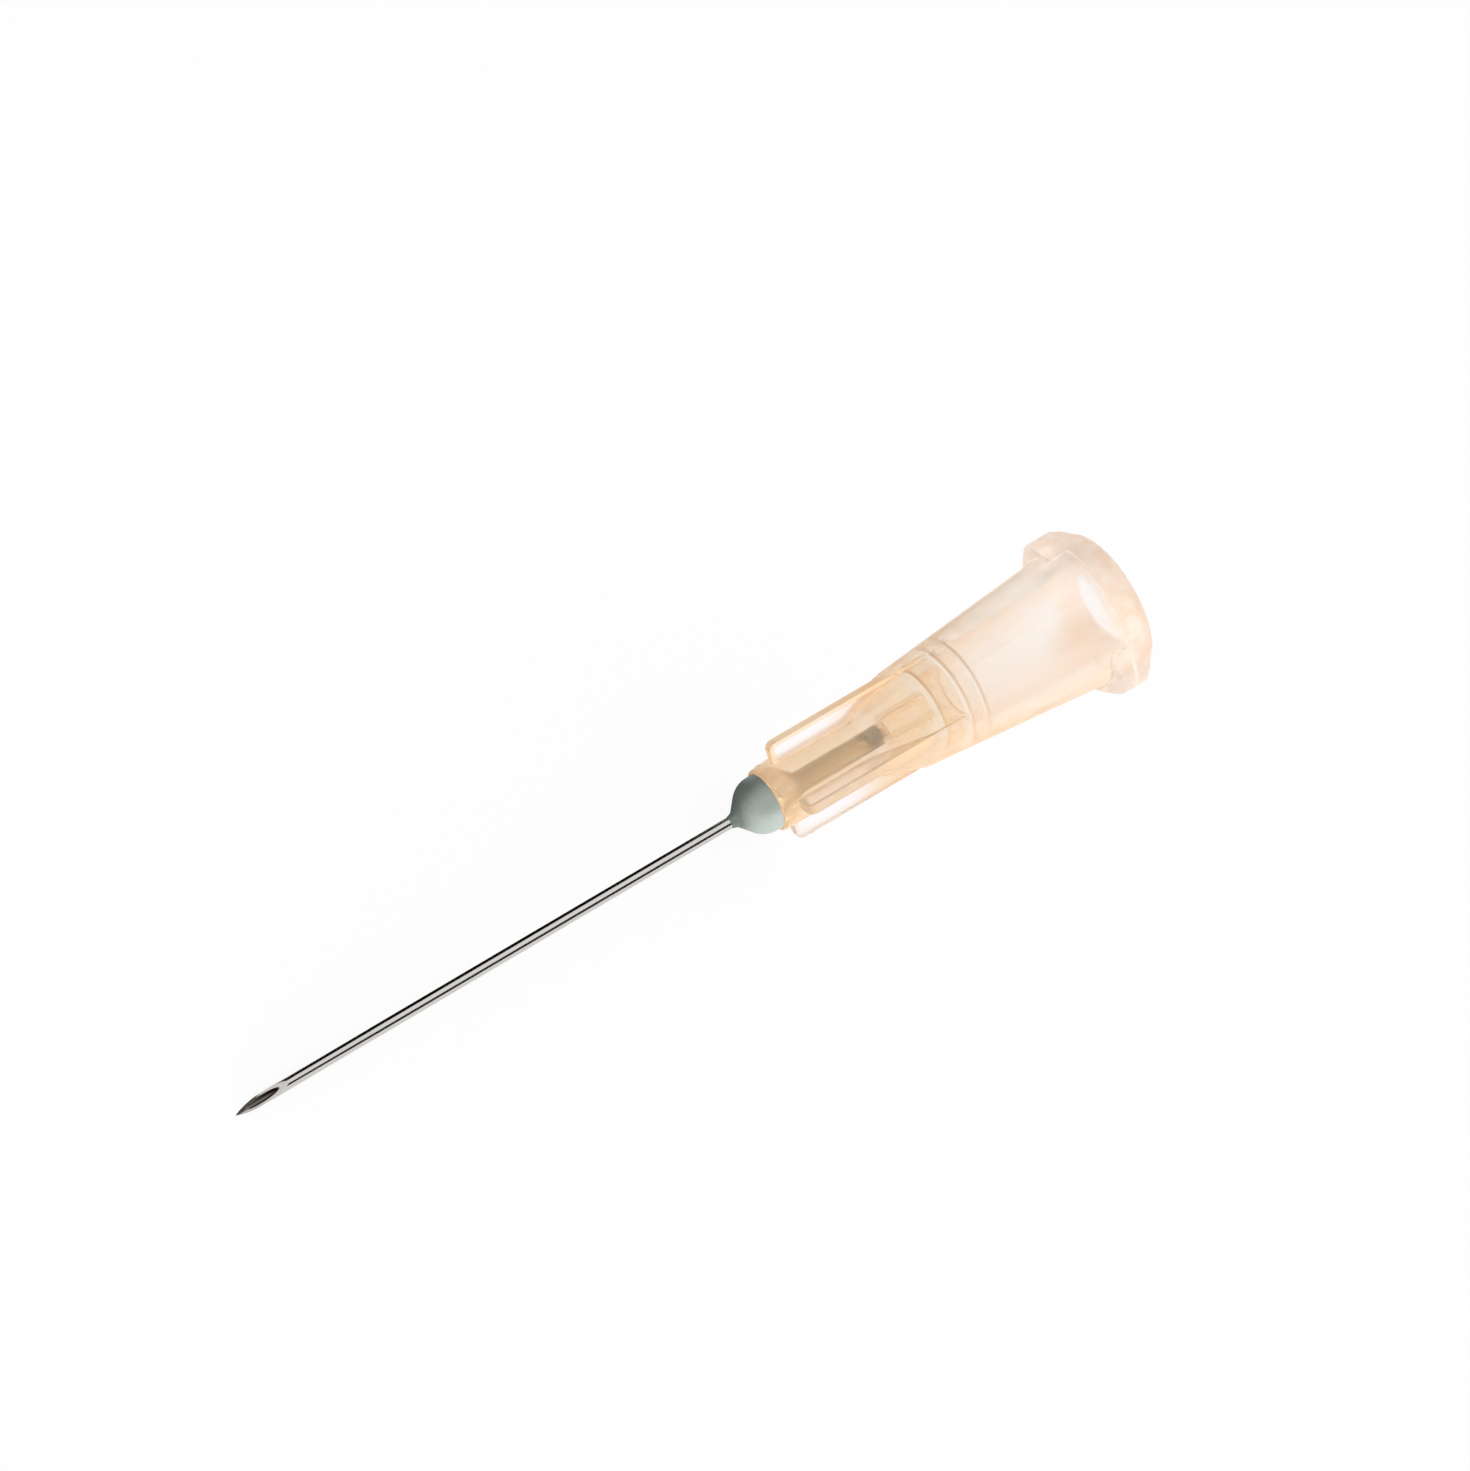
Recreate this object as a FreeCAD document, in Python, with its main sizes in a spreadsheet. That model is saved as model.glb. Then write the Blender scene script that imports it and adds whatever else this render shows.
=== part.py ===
import FreeCAD, Part
import Sketcher
import math
import os
import re
from FreeCAD import Placement, Rotation, Vector

# Disposable hypodermic needle: a translucent hub, a bead of adhesive and a steel cannula
# All pieces are drawn on one axis: local X runs from the needle's point, at 0, to the open end of the hub
# The ground point faces local +Z, and turns about the axis are counted from there towards +Y

SIZES = {
    # Cannula, a drawn stainless tube
    "tube_outer_radius": 0.2525,
    "tube_bore_radius": 0.148,
    "tube_reach": 26.75,  # from the point to the hub's nose face
    "tube_seat_depth": 6.2,  # how far the tube enters the hub
    "polish_length": 6.7,  # polished stretch behind the point
    "polish_depth": 0.004,  # what the polish takes off the radius
    "bevel_angle": 11.0,  # main ground face, from the axis
    "lancet_angle": 16.0,  # the two side faces, from the axis
    "lancet_turn": 35.0,  # how far each side face is turned about the axis

    # Hub, nose to body, with lengths from the nose face
    "hub_length": 18.3,
    "nose_radius": 1.48,
    "nose_edge_radius": 0.14,
    "flare_start": 4.6,
    "flare_end": 7.2,
    "flare_radius": 2.27,
    "flare_blend_radius": 1.6,
    "body_end_radius": 3.22,

    # Fins, with lengths from the nose face
    "fin_count": 4,
    "fin_turn": 45.0,
    "fin_radius": 2.47,
    "fin_thickness": 0.42,
    "fin_start": 0.79,
    "fin_end": 10.4,
    "fin_corner_radius": 0.34,
    "fin_root_depth": 0.35,  # how far a root reaches below the nose's surface

    # Collar and lock lugs at the open end
    "collar_radius": 3.32,
    "collar_thickness": 1.2,
    "end_edge_radius": 0.15,
    "lug_count": 2,
    "lug_turn": 90.0,
    "lug_radius": 3.93,
    "lug_tip_radius": 1.0,
    "lug_ramp_radius": 5.5,  # long side of a lug, as far as the collar reaches
    "lug_nose_ramp_radius": 9.0,  # the same side ahead of the collar
    "lug_thickness": 1.95,
    "lug_setback": 0.25,  # from the open end to the lug's back face
    "lug_front_lean": 0.45,  # how far the front face leans back from root to crest
    "lug_back_lean": 0.35,

    # Socket, passage, bore and funnel inside the hub
    "socket_mouth_radius": 2.135,
    "socket_slope": 0.03,  # radius lost for each millimetre of depth
    "socket_depth": 8.1,
    "socket_mouth_bevel": 0.1,
    "ring_edge_radius": 0.06,  # on the steps at the socket's bottom
    "sump_radius": 1.74,  # straight stretch below the taper
    "sump_depth": 0.75,
    "throat_radius": 1.3,  # smaller step below the sump
    "throat_depth": 1.15,
    "passage_radius": 0.52,
    "bore_radius": 0.31,
    "funnel_radius": 1.32,
    "funnel_depth": 1.5,
    "funnel_lip": 0.12,  # straight stretch at the funnel's mouth

    # Adhesive, with lengths from the nose face towards the point
    "dome_length": 1.95,
    "dome_shoulder": 0.79,
    "dome_shoulder_radius": 1.28,
    "dome_blend_radius": 1.2,
    "meniscus_length": 0.3,
    "meniscus_height": 0.1,
    "meniscus_blend_radius": 0.3,
    "film_end_gap": 0.25,  # the film stops this far short of the tube's inner end
}

# Stations along the axis, from the point
NOSE_FACE = "tube_reach"
OPEN_END = "tube_reach + hub_length"
TUBE_END = "tube_reach + tube_seat_depth"
COLLAR_FRONT = "tube_reach + hub_length - collar_thickness"
LUG_BACK = "tube_reach + hub_length - lug_setback"
LUG_FRONT = LUG_BACK + " - lug_thickness"
SOCKET_END = "tube_reach + hub_length - socket_depth"
SUMP_FLOOR = SOCKET_END + " - sump_depth"
THROAT_FLOOR = SUMP_FLOOR + " - throat_depth"
SOCKET_END_RADIUS = "socket_mouth_radius - socket_slope * socket_depth"
FIN_ROOT_RADIUS = "nose_radius - fin_root_depth"
POLISHED_RADIUS = "(tube_outer_radius - polish_depth)"

CUT_MARGIN = 1.0  # how far a cut's outline stands clear of the solid
NODES = ("hub", "adhesive_bead", "cannula")

doc = FreeCAD.newDocument("hypodermic_needle")
sheet = doc.addObject("Spreadsheet::Sheet", "Sizes")
for row, (alias, value) in enumerate(SIZES.items(), start=1):
    sheet.set("A%d" % row, alias)
    sheet.set("B%d" % row, str(value))
    sheet.setAlias("B%d" % row, alias)
doc.recompute()


# A formula's aliases become cells of the sheet
def linked(formula):
    return re.sub(r"[a-z_]+", lambda word: "Sizes." + word[0] if word[0] in SIZES else word[0], str(formula))


def bind(thing, path, formula):
    thing.setExpression(path, linked(formula))


# What a formula comes to, in millimetres or degrees
def worth(formula):
    answer = sheet.evalExpression(linked(formula))
    return float(getattr(answer, "Value", answer))


def origin_feature(body, role):
    return [item for item in body.Origin.OriginFeatures if item.Role == role][0]


def new_sketch(body, name, role):
    sketch = body.newObject("Sketcher::SketchObject", name)
    sketch.AttachmentSupport = (origin_feature(body, role), "")
    sketch.MapMode = "FlatFace"
    return sketch


# A sketch in a plane through the axis, turned about the axis
def turned_sketch(body, name, turn):
    sketch = new_sketch(body, name, "XZ_Plane")
    sketch.AttachmentOffset = Placement(Vector(0, 0, 0), Rotation(Vector(1, 0, 0), 1))
    bind(sketch, "AttachmentOffset.Rotation.Angle", "-(%s)" % turn)
    return sketch


# One coordinate of a point of the sketch, held on the axis where its formula is 0
def hold(sketch, geometry, end, kind, formula):
    if formula == "0":
        axis = -2 if kind == "DistanceX" else -1
        sketch.addConstraint(Sketcher.Constraint("PointOnObject", geometry, end, axis))
    else:
        index = sketch.addConstraint(Sketcher.Constraint(kind, -1, 1, geometry, end, worth(formula)))
        bind(sketch, "Constraints[%d]" % index, formula)


# The arc that rounds the corner between two lines of an outline
def round_corner(sketch, corner, spot, arc_start, arc_end, line_in, line_out):
    radius = worth(corner[2])
    inward = ((arc_start - spot) + (arc_end - spot)).normalize()
    half_angle = (arc_start - spot).getAngle(inward)
    centre = spot + inward * (radius / math.sin(half_angle))
    angles = [math.atan2(point.y - centre.y, point.x - centre.x) for point in (arc_start, arc_end)]
    forward = (angles[1] - angles[0]) % (2 * math.pi) < math.pi
    first, last = angles if forward else reversed(angles)
    circle = Part.Circle(centre, Vector(0, 0, 1), radius)
    arc = sketch.addGeometry(Part.ArcOfCircle(circle, first, last), False)
    point = sketch.addGeometry(Part.Point(spot), True)
    sketch.addConstraint(Sketcher.Constraint("Tangent", line_in, 2, arc, 1 if forward else 2))
    sketch.addConstraint(Sketcher.Constraint("Tangent", line_out, 1, arc, 2 if forward else 1))
    sketch.addConstraint(Sketcher.Constraint("PointOnObject", point, 1, line_in))
    sketch.addConstraint(Sketcher.Constraint("PointOnObject", point, 1, line_out))
    held = sketch.addConstraint(Sketcher.Constraint("Radius", arc, radius))
    bind(sketch, "Constraints[%d]" % held, corner[2])
    return point


# A closed outline; a corner is (along, out), with a third formula where it is rounded
def draw_outline(sketch, corners):
    count = len(corners)
    spots = [Vector(worth(corner[0]), worth(corner[1]), 0) for corner in corners]
    starts = []
    ends = []
    for index, corner in enumerate(corners):
        spot = spots[index]
        back = (spots[index - 1] - spot).normalize()
        ahead = (spots[(index + 1) % count] - spot).normalize()
        reach = worth(corner[2]) / math.tan(back.getAngle(ahead) / 2) if len(corner) > 2 else 0
        ends.append(spot + back * reach)
        starts.append(spot + ahead * reach)
    for index in range(count):
        sketch.addGeometry(Part.LineSegment(starts[index], ends[(index + 1) % count]), False)
    for index, corner in enumerate(corners):
        line_in = (index - 1) % count
        if len(corner) > 2:
            place = (sketch, corner, spots[index], ends[index], starts[index], line_in, index)
            held = round_corner(*place)
        else:
            sketch.addConstraint(Sketcher.Constraint("Coincident", line_in, 2, index, 1))
            held = index
        hold(sketch, held, 1, "DistanceX", corner[0])
        hold(sketch, held, 1, "DistanceY", corner[1])


# A turned form, or a turned cut, from an outline beside the axis
def turn_outline(body, name, kind, corners):
    sketch = new_sketch(body, name + "_outline", "XZ_Plane")
    draw_outline(sketch, corners)
    feature = body.newObject(kind, name)
    feature.Profile = sketch
    feature.ReferenceAxis = (sketch, ["H_Axis"])
    feature.Angle = 360
    return feature


# Copies of a feature, evenly spaced about the needle's axis
def spread(body, name, feature, count):
    pattern = body.newObject("PartDesign::PolarPattern", name)
    pattern.Originals = [feature]
    pattern.Axis = (origin_feature(body, "X_Axis"), [""])
    pattern.Angle = 360
    bind(pattern, "Occurrences", count)
    body.Tip = pattern
    return pattern


def make_cannula():
    body = doc.addObject("PartDesign::Body", "cannula")
    section = new_sketch(body, "tube_section", "YZ_Plane")
    for index, radius in enumerate(("tube_outer_radius", "tube_bore_radius")):
        section.addGeometry(Part.Circle(Vector(0, 0, 0), Vector(0, 0, 1), worth(radius)), False)
        section.addConstraint(Sketcher.Constraint("Coincident", index, 3, -1, 1))
        held = section.addConstraint(Sketcher.Constraint("Radius", index, worth(radius)))
        bind(section, "Constraints[%d]" % held, radius)
    tube = body.newObject("PartDesign::Pad", "tube")
    tube.Profile = section
    bind(tube, "Length", TUBE_END)

    # The polished stretch is a hair thinner than the rest of the tube
    turn_outline(body, "polish", "PartDesign::Groove", [
        ("-%s" % CUT_MARGIN, POLISHED_RADIUS),
        ("polish_length", POLISHED_RADIUS),
        ("polish_length", "tube_outer_radius + %s" % CUT_MARGIN),
        ("-%s" % CUT_MARGIN, "tube_outer_radius + %s" % CUT_MARGIN),
    ])

    # Three ground faces meet at the point, on the tube's lower side
    grind(body, "main_bevel", "0", "bevel_angle")
    grind(body, "left_lancet", "lancet_turn", "lancet_angle")
    grind(body, "right_lancet", "-lancet_turn", "lancet_angle")
    return body


# Everything above a slanted line through the point is ground away
def grind(body, name, turn, angle):
    sketch = turned_sketch(body, name + "_outline", turn)
    lowest = "-%s * cos(1 deg * (%s))" % (POLISHED_RADIUS, turn)
    slope = "tan(1 deg * %s)" % angle
    top = "tube_outer_radius + %s" % CUT_MARGIN
    draw_outline(sketch, [
        ("-%s" % CUT_MARGIN, "%s - %s * %s" % (lowest, CUT_MARGIN, slope)),
        ("(%s - (%s)) / %s" % (top, lowest, slope), top),
        ("-%s" % CUT_MARGIN, top),
    ])
    cut = body.newObject("PartDesign::Pocket", name)
    cut.Profile = sketch
    cut.Type = "ThroughAll"
    cut.Midplane = True
    return cut


def make_bead():
    body = doc.addObject("PartDesign::Body", "adhesive_bead")
    turn_outline(body, "bead", "PartDesign::Revolution", [
        (NOSE_FACE + " - dome_length", "tube_outer_radius"),
        (NOSE_FACE + " - dome_length + meniscus_length", "tube_outer_radius + meniscus_height",
         "meniscus_blend_radius"),
        (NOSE_FACE + " - dome_shoulder", "dome_shoulder_radius", "dome_blend_radius"),
        (NOSE_FACE, "funnel_radius"),
        (NOSE_FACE + " + funnel_lip", "funnel_radius"),
        (NOSE_FACE + " + funnel_depth", "bore_radius"),
        (TUBE_END + " - film_end_gap", "bore_radius"),
        (TUBE_END + " - film_end_gap", "tube_outer_radius"),
    ])
    return body


def make_hub():
    body = doc.addObject("PartDesign::Body", "hub")
    turn_outline(body, "hub_form", "PartDesign::Revolution", [
        (NOSE_FACE, "0"),
        (NOSE_FACE, "nose_radius", "nose_edge_radius"),
        (NOSE_FACE + " + flare_start", "nose_radius", "flare_blend_radius"),
        (NOSE_FACE + " + flare_end", "flare_radius", "flare_blend_radius"),
        (COLLAR_FRONT, "body_end_radius"),
        (COLLAR_FRONT, "collar_radius"),
        (OPEN_END, "collar_radius", "end_edge_radius"),
        (OPEN_END, "0"),
    ])
    add_fins(body)
    add_lugs(body)
    cut_inside(body)
    return body


def add_fins(body):
    sketch = turned_sketch(body, "fin_outline", "fin_turn")
    draw_outline(sketch, [
        (NOSE_FACE + " + fin_start", FIN_ROOT_RADIUS),
        (NOSE_FACE + " + fin_start", "fin_radius", "fin_corner_radius"),
        (NOSE_FACE + " + fin_end", "fin_radius"),
        (NOSE_FACE + " + fin_end", FIN_ROOT_RADIUS),
    ])
    fin = body.newObject("PartDesign::Pad", "fin")
    fin.Profile = sketch
    fin.Midplane = True
    bind(fin, "Length", "fin_thickness")
    doc.recompute()
    spread(body, "fins", fin, "fin_count")


def add_lugs(body):
    pad_lugs(body, "lug_ramp", COLLAR_FRONT, "lug_ramp_radius")
    pad_lugs(body, "lug_nose", LUG_FRONT, "lug_nose_ramp_radius")

    # Both faces of a lug lean in towards its crest
    lean_face(body, "lug_fronts", LUG_FRONT, "lug_front_lean", "body_end_radius")
    lean_face(body, "lug_backs", LUG_BACK, "-lug_back_lean", "collar_radius")


# Seen from the open end a lug is a rounded tip with a straight short side and a bowed long one
def pad_lugs(body, name, front, ramp_formula):
    sketch = new_sketch(body, name + "_outline", "YZ_Plane")
    sketch.AttachmentOffset = Placement(Vector(0, 0, 1), Rotation(Vector(0, 0, 1), 1))
    bind(sketch, "AttachmentOffset.Base.z", front)
    bind(sketch, "AttachmentOffset.Rotation.Angle", "90 - lug_turn")
    collar_radius = worth("collar_radius")
    tip_radius = worth("lug_tip_radius")
    ramp_radius = worth(ramp_formula)
    tip_centre = Vector(worth("lug_radius - lug_tip_radius"), 0, 0)

    # The short side touches the collar and the tip, and so does the ramp, from outside them
    lean = math.acos((collar_radius - tip_radius) / tip_centre.x)
    outward = Vector(math.cos(lean), -math.sin(lean), 0)
    to_collar = ramp_radius - collar_radius
    to_tip = ramp_radius - tip_radius
    ramp_x = (tip_centre.x ** 2 + to_collar ** 2 - to_tip ** 2) / (2 * tip_centre.x)
    ramp_centre = Vector(ramp_x, -math.sqrt(to_collar ** 2 - ramp_x ** 2), 0)
    ramp_start = math.atan2(-ramp_centre.y, tip_centre.x - ramp_centre.x)
    ramp_end = math.atan2(-ramp_centre.y, -ramp_centre.x)
    ramp_foot = Vector(math.cos(ramp_end), math.sin(ramp_end), 0) * collar_radius

    axis = Vector(0, 0, 1)
    rim = sketch.addGeometry(Part.Circle(Vector(0, 0, 0), axis, collar_radius), True)
    tip_arc = Part.ArcOfCircle(Part.Circle(tip_centre, axis, tip_radius), -lean, ramp_start)
    tip = sketch.addGeometry(tip_arc, False)
    ramp_arc = Part.ArcOfCircle(Part.Circle(ramp_centre, axis, ramp_radius), ramp_start, ramp_end)
    ramp = sketch.addGeometry(ramp_arc, False)
    foot = outward * collar_radius
    side = sketch.addGeometry(Part.LineSegment(foot, tip_centre + outward * tip_radius), False)
    chord = sketch.addGeometry(Part.LineSegment(ramp_foot, foot), False)
    sketch.addConstraint(Sketcher.Constraint("Coincident", rim, 3, -1, 1))
    sketch.addConstraint(Sketcher.Constraint("PointOnObject", tip, 3, -1))
    sketch.addConstraint(Sketcher.Constraint("Tangent", side, 2, tip, 1))
    sketch.addConstraint(Sketcher.Constraint("Tangent", tip, 2, ramp, 1))
    sketch.addConstraint(Sketcher.Constraint("Coincident", ramp, 2, chord, 1))
    sketch.addConstraint(Sketcher.Constraint("Coincident", chord, 2, side, 1))
    sketch.addConstraint(Sketcher.Constraint("Tangent", side, 1, rim))
    sketch.addConstraint(Sketcher.Constraint("Tangent", ramp, 2, rim))
    radii = ((rim, "collar_radius"), (tip, "lug_tip_radius"), (ramp, ramp_formula))
    for item, formula in radii:
        held = sketch.addConstraint(Sketcher.Constraint("Radius", item, worth(formula)))
        bind(sketch, "Constraints[%d]" % held, formula)
    hold(sketch, tip, 3, "DistanceX", "lug_radius - lug_tip_radius")
    lug = body.newObject("PartDesign::Pad", name)
    lug.Profile = sketch
    bind(lug, "Length", "%s - (%s)" % (LUG_BACK, front))
    doc.recompute()
    spread(body, name + "s", lug, "lug_count")


# A turned cut whose slanted side starts at a root radius and passes through the lugs' crest
def lean_face(body, name, station, lean, root):
    clear_radius = "%s + (lug_radius - %s) * 2" % (root, root)
    turn_outline(body, name, "PartDesign::Groove", [
        (station, root),
        ("%s + %s * 2" % (station, lean), clear_radius),
        (station, clear_radius),
    ])


def cut_inside(body):
    turn_outline(body, "inside", "PartDesign::Groove", [
        (NOSE_FACE, "0"),
        (NOSE_FACE, "funnel_radius"),
        (NOSE_FACE + " + funnel_lip", "funnel_radius"),
        (NOSE_FACE + " + funnel_depth", "bore_radius"),
        (TUBE_END, "bore_radius"),
        (TUBE_END, "passage_radius"),
        (THROAT_FLOOR, "passage_radius", "ring_edge_radius"),
        (THROAT_FLOOR, "throat_radius", "ring_edge_radius"),
        (SUMP_FLOOR, "throat_radius", "ring_edge_radius"),
        (SUMP_FLOOR, "sump_radius", "ring_edge_radius"),
        (SOCKET_END, "sump_radius", "ring_edge_radius"),
        (SOCKET_END, SOCKET_END_RADIUS, "ring_edge_radius"),
        (OPEN_END + " - socket_mouth_bevel", "socket_mouth_radius"),
        (OPEN_END, "socket_mouth_radius + socket_mouth_bevel"),
        (OPEN_END, "0"),
    ])


# The needle lies on its point and on the collar's front edge, with the floor midway between two fins
def rest_attitude():
    pitch = 360 / worth("fin_count")
    corner_depth = worth("fin_radius") * math.cos(math.radians(pitch / 2))
    supports = (
        (worth(COLLAR_FRONT), worth("collar_radius")),
        (worth(NOSE_FACE + " + fin_start"), corner_depth),
    )
    point_depth = worth(POLISHED_RADIUS)
    tilt = max(math.degrees(math.atan2(depth - point_depth, station)) for station, depth in supports)
    return tilt, (worth("fin_turn") - 180) % pitch - pitch / 2


hub = make_hub()
bead = make_bead()
cannula = make_cannula()
bodies = (hub, bead, cannula)
doc.recompute()

tilt, roll = rest_attitude()
turned = Rotation(Vector(0, 1, 0), -tilt) * Rotation(Vector(1, 0, 0), roll)
whole = Part.Compound([body.Shape.copy() for body in bodies])
whole.Placement = Placement(Vector(0, 0, 0), turned)
box = whole.optimalBoundingBox(False)
centre = Vector((box.XMin + box.XMax) / 2, (box.YMin + box.YMax) / 2, box.ZMin)
for body in bodies:
    body.Placement = Placement(-centre, turned)
doc.recompute()

for item in doc.Objects:
    if "Invalid" in item.State or "Error" in item.State:
        raise RuntimeError("%s did not build: %s" % (item.Name, item.State))
for body in bodies:
    if body.Shape.isNull() or not body.Shape.isValid():
        raise RuntimeError("%s has no valid shape" % body.Name)

os.makedirs("parts", exist_ok=True)
for name, body in zip(NODES, bodies):
    body.Label = name
    body.Shape.exportStep("parts/%s.step" % name)
    print("%s: %d solid, %.3f mm3" % (name, len(body.Shape.Solids), body.Shape.Volume))
print("tilt %.3f deg, roll %.3f deg, origin at %.3f from the point" % (tilt, roll, centre.x))
print("height %.3f, width %.3f, length %.3f" % (box.ZLength, box.YLength, box.XLength))
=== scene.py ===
import math

import bmesh
import bpy
from mathutils import Matrix, Vector

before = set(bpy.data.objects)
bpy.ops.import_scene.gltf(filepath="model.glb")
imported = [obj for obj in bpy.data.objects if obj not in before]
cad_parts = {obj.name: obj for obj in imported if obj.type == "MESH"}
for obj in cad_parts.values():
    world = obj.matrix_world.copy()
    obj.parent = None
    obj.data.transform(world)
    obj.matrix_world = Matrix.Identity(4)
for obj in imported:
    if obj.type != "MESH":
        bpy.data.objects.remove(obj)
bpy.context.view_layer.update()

print("frame loaded:", sorted(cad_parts))

# Where the needle lies in the frame: its own axis runs from the point, at 0 mm, to the open end
needleLie = {
    "tilt": 4.007,  # degrees off the floor
    "start": (22.5172, 0.0, -1.8299),  # the frame's origin, in the needle's own millimetres
    "toMillimetres": (1000.0, 1000.0, 1000.0),
}
white = (1.0, 1.0, 1.0, 1.0)
black = (0.0, 0.0, 0.0, 1.0)


# An 8-bit screen colour as Blender's linear one
def paint(red, green, blue):
    linear = [c / 12.92 if c <= 0.04045 else ((c + 0.055) / 1.055) ** 2.4 for c in (red / 255, green / 255, blue / 255)]
    return (*linear, 1.0)


# A socket of a node tree that sums can be written with
class Signal:
    def __init__(self, wiring, socket):
        self.wiring = wiring
        self.socket = socket

    def __add__(self, other):
        return self.wiring.sum("ADD", self, other)

    def __radd__(self, other):
        return self.wiring.sum("ADD", other, self)

    def __sub__(self, other):
        return self.wiring.sum("SUBTRACT", self, other)

    def __rsub__(self, other):
        return self.wiring.sum("SUBTRACT", other, self)

    def __mul__(self, other):
        return self.wiring.sum("MULTIPLY", self, other)

    def __rmul__(self, other):
        return self.wiring.sum("MULTIPLY", other, self)

    def __truediv__(self, other):
        return self.wiring.sum("DIVIDE", self, other)

    def __rtruediv__(self, other):
        return self.wiring.sum("DIVIDE", other, self)

    def __pow__(self, other):
        return self.wiring.sum("POWER", self, other)


class Wiring:
    def __init__(self, tree):
        self.tree = tree
        tree.nodes.clear()

    # One node: settings first, then the values or links of its sockets
    def add(self, kind, settings, sockets, output=0):
        node = self.tree.nodes.new(kind)
        for name, value in settings.items():
            setattr(node, name, value)
        for name, value in sockets.items():
            if isinstance(value, Signal):
                self.tree.links.new(value.socket, node.inputs[name])
            else:
                node.inputs[name].default_value = value
        return Signal(self, node.outputs[output]) if len(node.outputs) else None

    def sum(self, operation, first, second=0.0):
        return self.add("ShaderNodeMath", {"operation": operation}, {0: first, 1: second})

    def clamped(self, value):
        return self.add("ShaderNodeClamp", {}, {0: value})

    # 0 below the low edge, 1 above the high one, smooth between
    def step(self, value, low, high):
        return self.add("ShaderNodeMapRange", {"interpolation_type": "SMOOTHSTEP"}, {0: value, 1: low, 2: high})

    # 1 below the low edge, 0 above the high one
    def fall(self, value, low, high):
        return 1.0 - self.step(value, low, high)

    # 1 at a station, 0 further from it than the far edge
    def near(self, value, station, close, far):
        return self.fall(self.sum("ABSOLUTE", value - station), close, far)

    # A number that goes from the first to the second with the share
    def blend(self, share, first, second):
        return first + share * (second - first)

    def mix(self, share, first, second):
        return self.add("ShaderNodeMix", {"data_type": "RGBA"}, {0: share, 6: first, 7: second}, 2)

    def noise(self, spot, scale, detail=2.0, roughness=0.5):
        sockets = {"Vector": spot, "Scale": scale, "Detail": detail, "Roughness": roughness}
        return self.add("ShaderNodeTexNoise", {}, sockets)

    # Noise that is drawn out: a small scale along an axis makes it long there
    def streaks(self, spot, scales):
        return self.noise(self.add("ShaderNodeMapping", {}, {"Vector": spot, "Scale": scales}), 1.0)

    # The surface point in the needle's own millimetres: along the axis, sideways, towards the ground side
    def spot(self):
        return self.add("ShaderNodeMapping", {}, {
            "Vector": self.add("ShaderNodeTexCoord", {}, {}, "Object"),
            "Location": needleLie["start"],
            "Rotation": (0.0, math.radians(needleLie["tilt"]), 0.0),
            "Scale": needleLie["toMillimetres"],
        })

    def split(self, vector):
        return [self.add("ShaderNodeSeparateXYZ", {}, {0: vector}, axis) for axis in range(3)]

    def rays(self, *kinds):
        return [self.add("ShaderNodeLightPath", {}, {}, kind) for kind in kinds]

    # The tree's last node, and the material that it belongs to
    def close(self, shader, material=None):
        kind = "ShaderNodeOutputMaterial" if material else "ShaderNodeOutputWorld"
        self.add(kind, {}, {"Surface": shader})
        return material


def newMaterial(name):
    material = bpy.data.materials.new(name)
    material.use_nodes = True
    return material, Wiring(material.node_tree)


def dress(node, material):
    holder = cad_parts[node]
    for slot in holder.material_slots:
        slot.material = material


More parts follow.
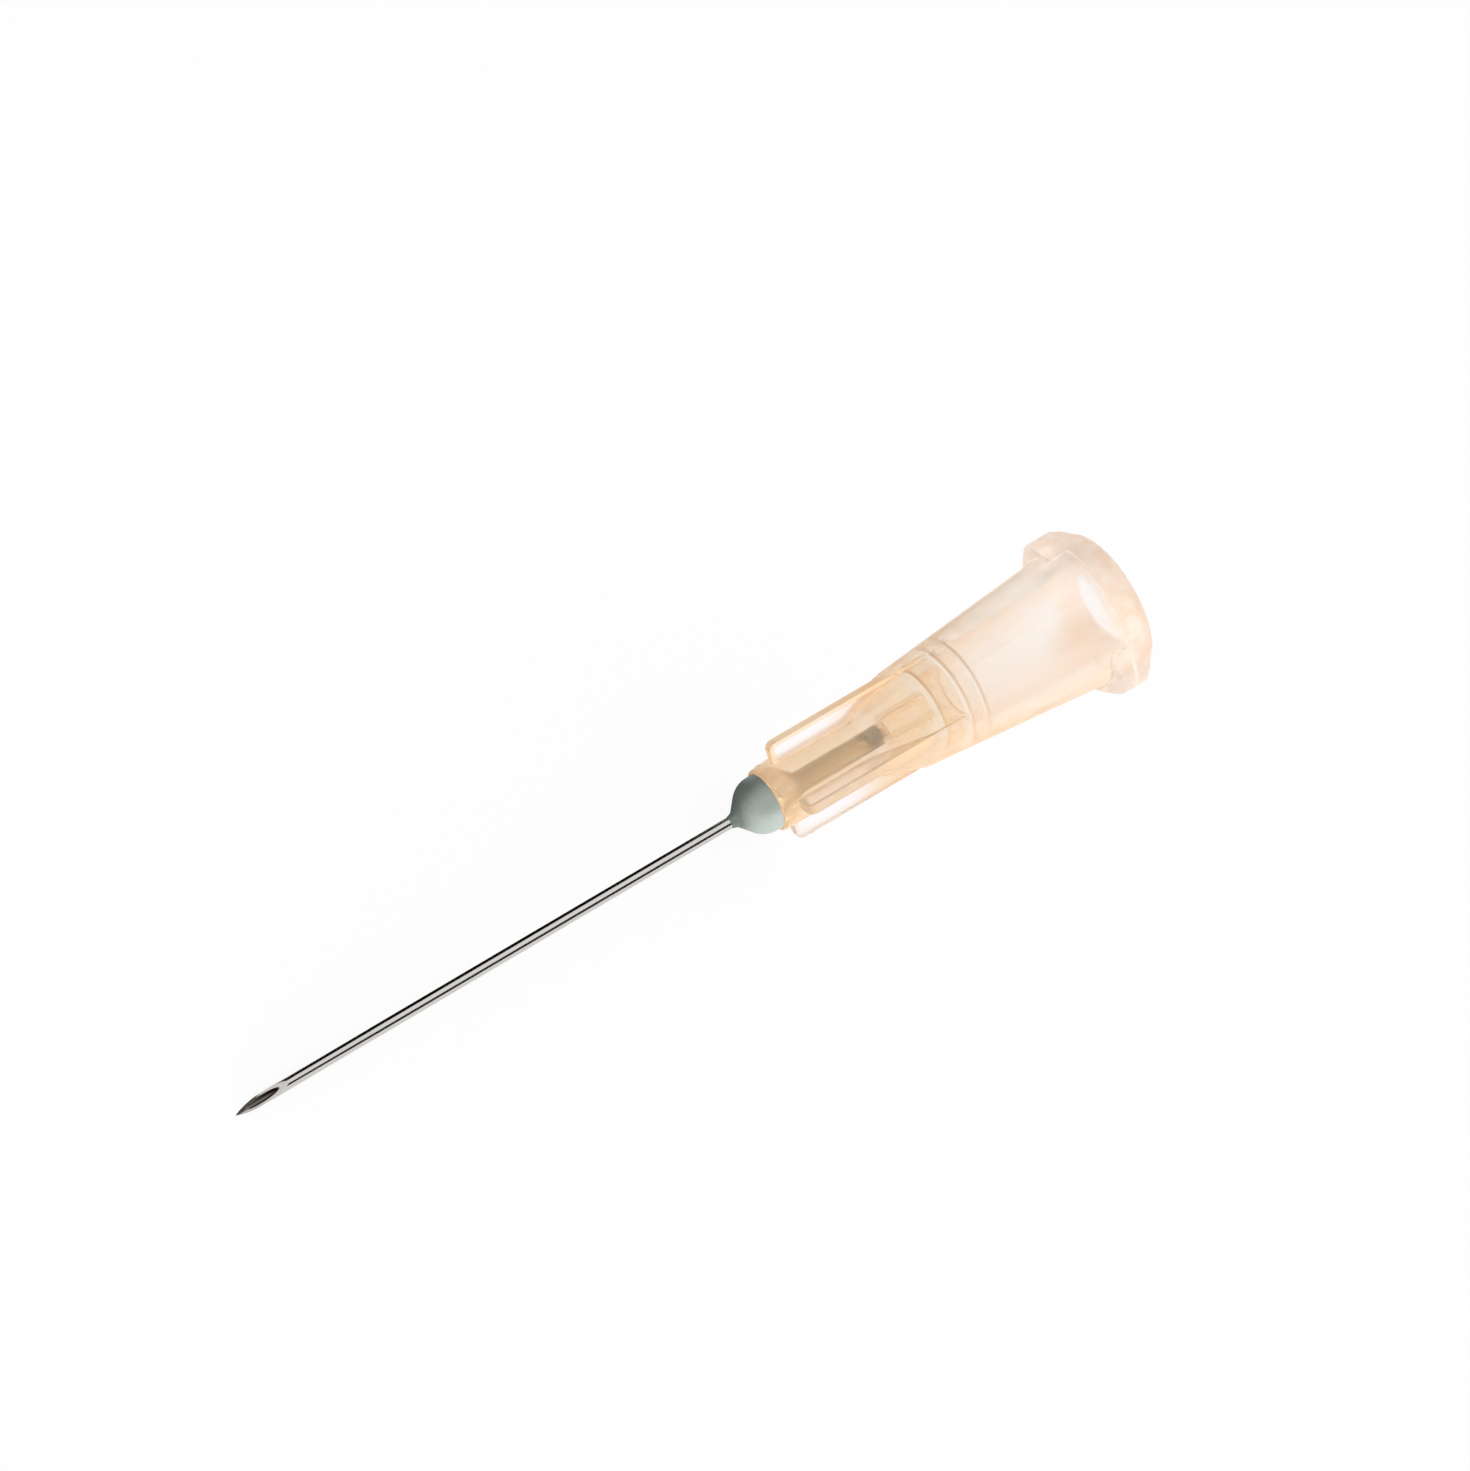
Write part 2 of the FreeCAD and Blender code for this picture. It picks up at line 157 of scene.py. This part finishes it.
hubPlastic = {
    "thick": paint(241, 216, 186),  # the solid front half
    "thin": paint(250, 242, 236),  # the wall round the socket
    "socketEnd": (34.2, 37.8),  # between them, along the needle
    "fin": paint(253, 249, 251),
    "passage": paint(252, 240, 226),  # the narrow way behind the tube
    "passageStart": (32.9, 33.0),
    "passageWall": (0.8, 0.95),
    "mouth": paint(255, 253, 252),  # painted light: the wall next to the collar made paler on the side away from the key
    "mouthStart": (39.5, 43.0),
    "mouthSide": (-1.4, 0.8),
    "finRoot": (1.5, 1.62),  # radius at which the fins begin
    "finEdge": (2.27, 2.33),  # radius at which their outer edges begin
    "finFront": (27.72, 27.82),
    "finFade": (30.0, 33.0),  # where the fins' paler plastic ends, along the needle
    "finEnd": (33.4, 34.2),
    "finEdgeShare": 0.62,
    "underShare": 0.2,  # the same on the lower fins, which light comes through
    "underSide": (-0.3, 0.3),
    "rim": paint(248, 210, 170),  # surfaces seen on edge
    "wallRim": paint(255, 229, 202),  # the same where the wall is thin, paler; partly painted light, as it is strongest on the side away from the key
    "wallRimLeast": 0.4,  # its share on the key side; the rest of it, on the side away from the key, is painted light
    "keyRimPaintedShade": paint(224, 191, 156),  # painted shade: a darker edge colour on the fins on the key side
    "keySide": (0.3, -0.3),
    "rimBlend": 0.42,
    "rimShare": 0.85,
    "wallRimShare": 0.7,
    "wallStart": (36.5, 41.0),
    "collar": paint(250, 235, 222),
    "collarBlotch": paint(240, 210, 182),
    "blotchScale": 1.5,
    "blotchEdge": (0.44, 0.6),
    "collarRim": paint(255, 232, 216),
    "collarRimShare": 0.22,  # also on the fins' flat sides
    "rings": (36.95, 36.2, 35.05),  # the steps at the socket's bottom, along the needle
    "ringWidth": 0.17,
    "ringFade": 0.03,
    "ringLine": (0.015, 0.03),  # half width of the painted highlight line on each step
    "ringWallPaintedShade": paint(218, 184, 150),
    "ringFacePaintedHighlight": paint(255, 250, 244),
    "ringShare": 0.7,
    "ringReach": (1.9, 1.98),  # radius at which the painted shade and highlight of the steps end
    "cloud": paint(245, 229, 215),  # a faint pinkish spot in the wall
    "cloudSpot": (41.5, -1.1),  # along the needle and across it
    "cloudSize": (1.6, 1.2),
    "cloudFade": (0.1, 1.0),
    "cloudSide": (0.0, 1.0),  # only on the upper wall
    "refraction": 1.49,
    "noseRoughness": 0.16,
    "roughness": 0.05,
    "collarRoughness": 0.3,
    "collarShare": 0.3,  # milky share of the whole collar
    "collarFront": 43.85,
    "collarFaceRadius": (3.1, 3.16),
    "collarFaceDepth": (0.04, 0.08),
    "collarFaceShare": 0.5,
    "collarStart": (43.6, 44.0),  # where the rougher surface begins, along the needle
    "collarRoot": (3.24, 3.32),
    "noseEnd": (31.0, 34.5),
    "clear": 0.88,  # share of light that passes straight on
    "milkiness": (0.004, 0.0032, 0.0026),  # how far scattered light travels, in metres
    "grainScale": 9.0,
    "grainDetail": 3.0,
    "grainStrength": 0.05,
    "grainDepth": 0.00002,
}


def makeHubPlastic():
    material, wiring = newMaterial("hubPlastic")
    spot = wiring.spot()
    along, side, up = wiring.split(spot)
    radius = (side * side + up * up) ** 0.5
    atCollar = wiring.step(along, *hubPlastic["collarStart"]) + wiring.step(radius, *hubPlastic["collarRoot"])
    atCollar = wiring.clamped(atCollar)
    atWall = wiring.step(along, *hubPlastic["wallStart"])
    outsideCore = wiring.step(radius, *hubPlastic["finRoot"])
    onFin = outsideCore * wiring.fall(along, *hubPlastic["finFade"])
    awayFromKey = wiring.step(side, *hubPlastic["mouthSide"])

    body = wiring.mix(wiring.step(along, *hubPlastic["socketEnd"]), hubPlastic["thick"], hubPlastic["thin"])
    body = wiring.mix(onFin, body, hubPlastic["fin"])
    inPassage = wiring.step(along, *hubPlastic["passageStart"]) * wiring.fall(radius, *hubPlastic["passageWall"])
    body = wiring.mix(inPassage, body, hubPlastic["passage"])
    # Painted light: the wall by the collar is paler on the side away from the key
    paintedLightAtMouth = wiring.step(along, *hubPlastic["mouthStart"]) * awayFromKey
    body = wiring.mix(paintedLightAtMouth, body, hubPlastic["mouth"])
    lengthwise = (along - hubPlastic["cloudSpot"][0]) / hubPlastic["cloudSize"][0]
    crosswise = (side - hubPlastic["cloudSpot"][1]) / hubPlastic["cloudSize"][1]
    cloud = wiring.fall((lengthwise * lengthwise + crosswise * crosswise) ** 0.5, *hubPlastic["cloudFade"])
    body = wiring.mix(cloud * wiring.step(up, *hubPlastic["cloudSide"]), body, hubPlastic["cloud"])
    blotches = wiring.step(wiring.noise(spot, hubPlastic["blotchScale"]), *hubPlastic["blotchEdge"])
    collar = wiring.mix(blotches, hubPlastic["collar"], hubPlastic["collarBlotch"])
    body = wiring.mix(atCollar, body, collar)

    roughness = wiring.blend(atCollar, hubPlastic["roughness"], hubPlastic["collarRoughness"])
    atNose = wiring.fall(along, *hubPlastic["noseEnd"])
    roughness = roughness + atNose * (hubPlastic["noseRoughness"] - hubPlastic["roughness"])
    bump = wiring.add("ShaderNodeBump", {}, {
        "Strength": hubPlastic["grainStrength"],
        "Distance": hubPlastic["grainDepth"],
        "Height": wiring.noise(spot, hubPlastic["grainScale"], hubPlastic["grainDetail"]),
    })
    shell = wiring.add("ShaderNodeBsdfPrincipled", {}, {
        "Base Color": body,
        "Roughness": roughness,
        "IOR": hubPlastic["refraction"],
        "Transmission Weight": hubPlastic["clear"],
        "Subsurface Weight": 1.0,
        "Subsurface Radius": hubPlastic["milkiness"],
        "Subsurface Scale": 1.0,
        "Normal": bump,
    })

    # A matt share gives the milky look of slanting walls, fin edges, steps and the collar
    inSocket = wiring.fall(radius, *hubPlastic["ringReach"])
    walls = 0.0
    faces = 0.0
    for station in hubPlastic["rings"]:
        wallEnd = station + hubPlastic["ringWidth"]
        faces = faces + inSocket * wiring.near(along, station, *hubPlastic["ringLine"])
        walls = walls + inSocket * wiring.step(along, station, station + hubPlastic["ringFade"]) * (
            wiring.fall(along, wallEnd - hubPlastic["ringFade"], wallEnd))
    # The thin wall's paler edge colour is partly painted light: it grows on the side away from the key
    wallRimPaintedLightShare = atWall * wiring.blend(awayFromKey, hubPlastic["wallRimLeast"], 1.0)
    rimColour = wiring.mix(wallRimPaintedLightShare, hubPlastic["rim"], hubPlastic["wallRim"])
    rimColour = wiring.mix(atCollar, rimColour, hubPlastic["collarRim"])
    # Painted shade: the fins on the key side get a darker edge colour
    paintedShadeOnKeyFin = onFin * wiring.step(side, *hubPlastic["keySide"])
    rimColour = wiring.mix(paintedShadeOnKeyFin, rimColour, hubPlastic["keyRimPaintedShade"])
    # Painted shade on the steps' walls and painted highlight lines on their faces
    rimColour = wiring.mix(wiring.clamped(walls), rimColour, hubPlastic["ringWallPaintedShade"])
    rimColour = wiring.mix(wiring.clamped(faces), rimColour, hubPlastic["ringFacePaintedHighlight"])
    rim = wiring.add("ShaderNodeBsdfPrincipled", {}, {
        "Base Color": rimColour, "Roughness": 1.0, "Specular IOR Level": 0.0})

    rimShare = wiring.blend(atWall, hubPlastic["rimShare"], hubPlastic["wallRimShare"])
    rimShare = wiring.blend(wiring.clamped(atCollar + onFin), rimShare, hubPlastic["collarRimShare"])
    edge = wiring.add("ShaderNodeLayerWeight", {}, {"Blend": hubPlastic["rimBlend"]}, "Facing") * rimShare
    finFaces = wiring.step(radius, *hubPlastic["finEdge"]) * wiring.fall(along, *hubPlastic["finEnd"])
    finFronts = outsideCore * wiring.fall(along, *hubPlastic["finFront"])
    above = wiring.step(up, *hubPlastic["underSide"])
    finShare = (finFaces + finFronts) * wiring.blend(above, hubPlastic["underShare"], hubPlastic["finEdgeShare"])
    ringShare = (walls + faces) * hubPlastic["ringShare"]
    collarFace = wiring.step(radius, *hubPlastic["collarFaceRadius"]) * (
        wiring.near(along, hubPlastic["collarFront"], *hubPlastic["collarFaceDepth"]))
    collarShare = atCollar * hubPlastic["collarShare"] + collarFace * hubPlastic["collarFaceShare"]
    share = wiring.clamped(edge + finShare + ringShare + collarShare)
    return wiring.close(wiring.add("ShaderNodeMixShader", {}, {0: share, 1: shell, 2: rim}), material)

adhesive = {
    "body": paint(198, 209, 201),
    "paintedShade": paint(122, 131, 125),  # painted shade on the side away from the key
    "shadeAcross": (-1.65, 0.95),
    "cloudScale": 1.6,
    "cloudDetail": 3.0,
    "cloudReach": 0.5,  # how far the clouds move the shade's edge, in millimetres
    "neck": (24.9, 25.6),  # painted shade at the thin start of the bead, along the needle
    "neckShade": 0.8,
    "funnel": paint(255, 236, 204),  # against the hub's plastic: partly the glue's own tone there, partly painted light
    "film": paint(214, 187, 148),
    "filmEnd": paint(142, 120, 90),
    "funnelStart": (26.75, 26.81),
    "funnelEnd": (27.6, 28.2),
    "darkening": (31.6, 32.6),  # where the film turns dark, along the needle
    "clots": {"scale": 1.8, "detail": 4.0, "roughness": 0.7},
    "clotReach": 4.0,
    "glow": paint(156, 144, 122),  # painted light: a glow that stands in for light the plastic pours onto the funnel
    "paintedGlowStrength": 1.0,
    "metallic": 0.35,  # the steel inside the bead shows through it
    "roughness": 0.45,
    "refraction": 1.5,
}


def makeAdhesive():
    material, wiring = newMaterial("adhesiveBead")
    spot = wiring.spot()
    along, side = wiring.split(spot)[:2]
    clouds = wiring.noise(spot, adhesive["cloudScale"], adhesive["cloudDetail"])
    # Painted shade: darker on the side away from the key, with a cloudy edge, and at the bead's thin neck
    shaded = wiring.step(side + (clouds - 0.5) * adhesive["cloudReach"], *adhesive["shadeAcross"])
    shaded = wiring.clamped(shaded + wiring.fall(along, *adhesive["neck"]) * adhesive["neckShade"])
    inFunnel = wiring.step(along, *adhesive["funnelStart"])
    inBore = wiring.step(along, *adhesive["funnelEnd"])
    ragged = (wiring.noise(spot, **adhesive["clots"]) - 0.5) * adhesive["clotReach"]
    film = wiring.mix(wiring.step(along + ragged, *adhesive["darkening"]), adhesive["film"], adhesive["filmEnd"])
    colour = wiring.mix(shaded, adhesive["body"], adhesive["paintedShade"])
    # Painted light: the funnel is pale and glows where it lies against the plastic
    colour = wiring.mix(inFunnel, colour, adhesive["funnel"])
    shader = wiring.add("ShaderNodeBsdfPrincipled", {}, {
        "Base Color": wiring.mix(inBore, colour, film),
        "Metallic": (1.0 - inFunnel) * adhesive["metallic"],
        "Roughness": adhesive["roughness"],
        "IOR": adhesive["refraction"],
        "Emission Color": wiring.mix(inFunnel * (1.0 - inBore), black, adhesive["glow"]),
        "Emission Strength": adhesive["paintedGlowStrength"],
    })
    return wiring.close(shader, material)

steel = {
    "body": paint(213, 210, 205),
    "ground": paint(208, 203, 198),
    "groundMark": paint(140, 135, 131),  # scratches of the grinding wheel
    "markShare": 0.3,
    "lancet": paint(192, 188, 184),
    "lancetFarPaintedShade": paint(58, 55, 53),  # painted shade: the facet turned from the key side
    "lancetSplit": (-0.08, -0.02),
    "lancetEnd": (1.0, 1.4),
    # Painted shade inside the bore, darker deeper in
    "bore": paint(112, 105, 98),
    "boreFar": paint(84, 72, 66),  # darker painted shade towards the heel of the ground face
    "boreDusk": (1.2, 2.0),
    "groundEdge": (0.2405, 0.2455),  # radius at which the ground faces end
    "boreEdge": (0.155, 0.162),
    "grinding": (60.0, 3.0, 3.0),  # scales of the scratches, across the needle
    "markEdge": (0.35, 0.75),
    "drawnLines": (0.5, 16.0, 16.0),  # scales of the drawn surface's lines, along the needle
    "roughness": 0.17,
    "drawing": 0.05,  # how much the lines of the drawn surface change it
    "groundRoughness": 0.3,
}


def makeSteel():
    material, wiring = newMaterial("cannulaSteel")
    spot = wiring.spot()
    along, side, up = wiring.split(spot)
    radius = (side * side + up * up) ** 0.5
    ground = wiring.fall(radius, *steel["groundEdge"])
    inBore = wiring.fall(radius, *steel["boreEdge"])
    # Painted light and shade on the lancet facets: lighter on the key side, dark on the far side
    lancet = wiring.mix(wiring.step(side, *steel["lancetSplit"]), steel["lancet"], steel["lancetFarPaintedShade"])
    facet = wiring.mix(wiring.step(along, *steel["lancetEnd"]), lancet, steel["ground"])
    marks = wiring.step(wiring.streaks(spot, steel["grinding"]), *steel["markEdge"])
    facet = wiring.mix(marks * steel["markShare"], facet, steel["groundMark"])
    # Painted shade in the bore
    bore = wiring.mix(wiring.step(along, *steel["boreDusk"]), steel["bore"], steel["boreFar"])
    roughness = wiring.blend(ground, steel["roughness"], steel["groundRoughness"])
    roughness = roughness + (wiring.streaks(spot, steel["drawnLines"]) - 0.5) * steel["drawing"]
    shader = wiring.add("ShaderNodeBsdfPrincipled", {}, {
        "Base Color": wiring.mix(inBore, wiring.mix(ground, steel["body"], facet), bore),
        "Metallic": 1.0,
        "Roughness": roughness,
    })
    return wiring.close(shader, material)

dress("hub", makeHubPlastic())
dress("adhesive_bead", makeAdhesive())
dress("cannula", makeSteel())
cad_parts["hub"].visible_shadow = False  # clear plastic lets the light through to what it holds
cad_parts["hub"].visible_diffuse = False
print("materials given")

floorCard = {
    "size": 3.0,
    "colour": (0.95, 0.95, 0.95, 1.0),
    "whiteness": 0.88,  # share of plain white that the camera sees; the rest shows the shadow
    "warmth": paint(238, 196, 152),
    "pool": (0.014, 0.05),  # how far from the needle the white seen through the plastic turns warm, a painted warm glow
}


def makeFloor():
    mesh = bpy.data.meshes.new("floorCard")
    shape = bmesh.new()
    bmesh.ops.create_grid(shape, x_segments=1, y_segments=1, size=floorCard["size"] / 2)
    shape.to_mesh(mesh)
    shape.free()
    floor = bpy.data.objects.new("floorCard", mesh)
    bpy.context.scene.collection.objects.link(floor)
    material, wiring = newMaterial("floorPaper")
    camera, through = wiring.rays("Is Camera Ray", "Is Transmission Ray")
    paper = wiring.add("ShaderNodeBsdfDiffuse", {}, {"Color": floorCard["colour"]})
    distance = wiring.sum("ABSOLUTE", wiring.split(wiring.add("ShaderNodeTexCoord", {}, {}, "Object"))[1])
    # Painted light: a warm glow on the floor round the needle, seen only through the plastic
    tint = wiring.mix(through * wiring.step(distance, *floorCard["pool"]), white, floorCard["warmth"])
    glow = wiring.add("ShaderNodeEmission", {}, {"Color": tint, "Strength": 1.0})
    share = wiring.clamped(camera * floorCard["whiteness"] + through)
    shader = wiring.add("ShaderNodeMixShader", {}, {0: share, 1: paper, 2: glow})
    mesh.materials.append(wiring.close(shader, material))


makeFloor()
print("floor laid")

studio = {
    "surround": 0.85,  # strength of the even light on matt surfaces
    "slope": 0.52,  # how much stronger it is on the key side
    "warmth": paint(238, 196, 152),  # what the plastic's slanting surfaces pick up
    "warmRise": (0.8, 0.2),  # how steep a direction is where that starts and ends
    "keySide": (0.1, -0.92, 0.35),
    "boxes": {
        "keyBox": {"place": (0.03, -0.36, 0.1), "aim": (0.0, 0.0, 0.0), "size": (0.4, 0.16), "power": 0.22},
    },
    "cards": {  # black cards that only polished surfaces see: middle, length and width, slope in degrees
        "gapCard": {"place": (-0.0033, -0.0203, 0.0239), "size": (0.0375, 0.0243), "slope": 42.0},
        "edgeCard": {"place": (-0.0113, 0.0079, 0.0001), "size": (0.0315, 0.0142), "slope": 0.0},
        "rimCard": {"place": (-0.0068, 0.015, 0.0072), "size": (0.0305, 0.0145), "slope": 90.0},
    },
}


def lightStudio():
    world = bpy.data.worlds.new("studio")
    world.use_nodes = True
    bpy.context.scene.world = world
    wiring = Wiring(world.node_tree)
    camera, glossy, through = wiring.rays("Is Camera Ray", "Is Glossy Ray", "Is Transmission Ray")
    shown = wiring.clamped(camera + glossy + through)
    heading = wiring.add("ShaderNodeTexCoord", {}, {}, "Generated")
    towardsKey = {0: heading, 1: studio["keySide"]}
    facing = wiring.add("ShaderNodeVectorMath", {"operation": "DOT_PRODUCT"}, towardsKey, "Value")
    around = (1.0 + facing * studio["slope"]) * studio["surround"]
    strength = shown + (1.0 - shown) * around
    rise = wiring.sum("ABSOLUTE", wiring.split(heading)[2])
    tint = wiring.mix(through * wiring.step(rise, *studio["warmRise"]), white, studio["warmth"])
    wiring.close(wiring.add("ShaderNodeBackground", {}, {"Color": tint, "Strength": strength}))
    for name, box in studio["boxes"].items():
        lamp = bpy.data.lights.new(name, "AREA")
        lamp.shape = "RECTANGLE"
        lamp.size, lamp.size_y = box["size"]
        lamp.energy = box["power"]
        holder = bpy.data.objects.new(name, lamp)
        bpy.context.scene.collection.objects.link(holder)
        holder.location = box["place"]
        holder.visible_glossy = False
        look = Vector(box["aim"]) - Vector(box["place"])
        holder.rotation_euler = look.to_track_quat("-Z", "Y").to_euler()


# Light that has been through the plastic misses the cards
def makeCardBlack():
    material, wiring = newMaterial("blackCard")
    passed = wiring.rays("Transmission Depth")[0]
    dark = wiring.add("ShaderNodeEmission", {}, {"Color": black, "Strength": 0.0})
    clear = wiring.add("ShaderNodeBsdfTransparent", {}, {"Color": white})
    return wiring.close(wiring.add("ShaderNodeMixShader", {}, {0: wiring.clamped(passed), 1: dark, 2: clear}), material)

def standCards():
    cardBlack = makeCardBlack()
    for name, card in studio["cards"].items():
        mesh = bpy.data.meshes.new(name)
        shape = bmesh.new()
        bmesh.ops.create_grid(shape, x_segments=1, y_segments=1, size=0.5)
        bmesh.ops.scale(shape, vec=(*card["size"], 1.0), verts=shape.verts)
        bmesh.ops.rotate(shape, matrix=Matrix.Rotation(math.radians(card["slope"]), 3, "X"), verts=shape.verts)
        bmesh.ops.translate(shape, vec=card["place"], verts=shape.verts)
        shape.to_mesh(mesh)
        shape.free()
        mesh.materials.append(cardBlack)
        holder = bpy.data.objects.new(name, mesh)
        bpy.context.scene.collection.objects.link(holder)
        holder.visible_camera = False
        holder.visible_diffuse = False
        holder.visible_shadow = False
        holder.visible_transmission = False


lightStudio()
standCards()
print("studio lit")

view = {
    "place": (-0.084901, -0.04288, 0.213058),
    "turn": (22.2591, -12.794, -34.3568),
    "lens": 133.47,
    "sensor": 36.0,
    "clip": (0.01, 10.0),
}


def setCamera():
    data = bpy.data.cameras.new("camera")
    data.sensor_fit = "HORIZONTAL"
    data.sensor_width = view["sensor"]
    data.lens = view["lens"]
    data.clip_start, data.clip_end = view["clip"]
    camera = bpy.data.objects.new("camera", data)
    bpy.context.scene.collection.objects.link(camera)
    camera.location = view["place"]
    camera.rotation_euler = [math.radians(angle) for angle in view["turn"]]
    bpy.context.scene.camera = camera


setCamera()
bpy.context.scene.view_settings.view_transform = "Standard"
print("camera set")
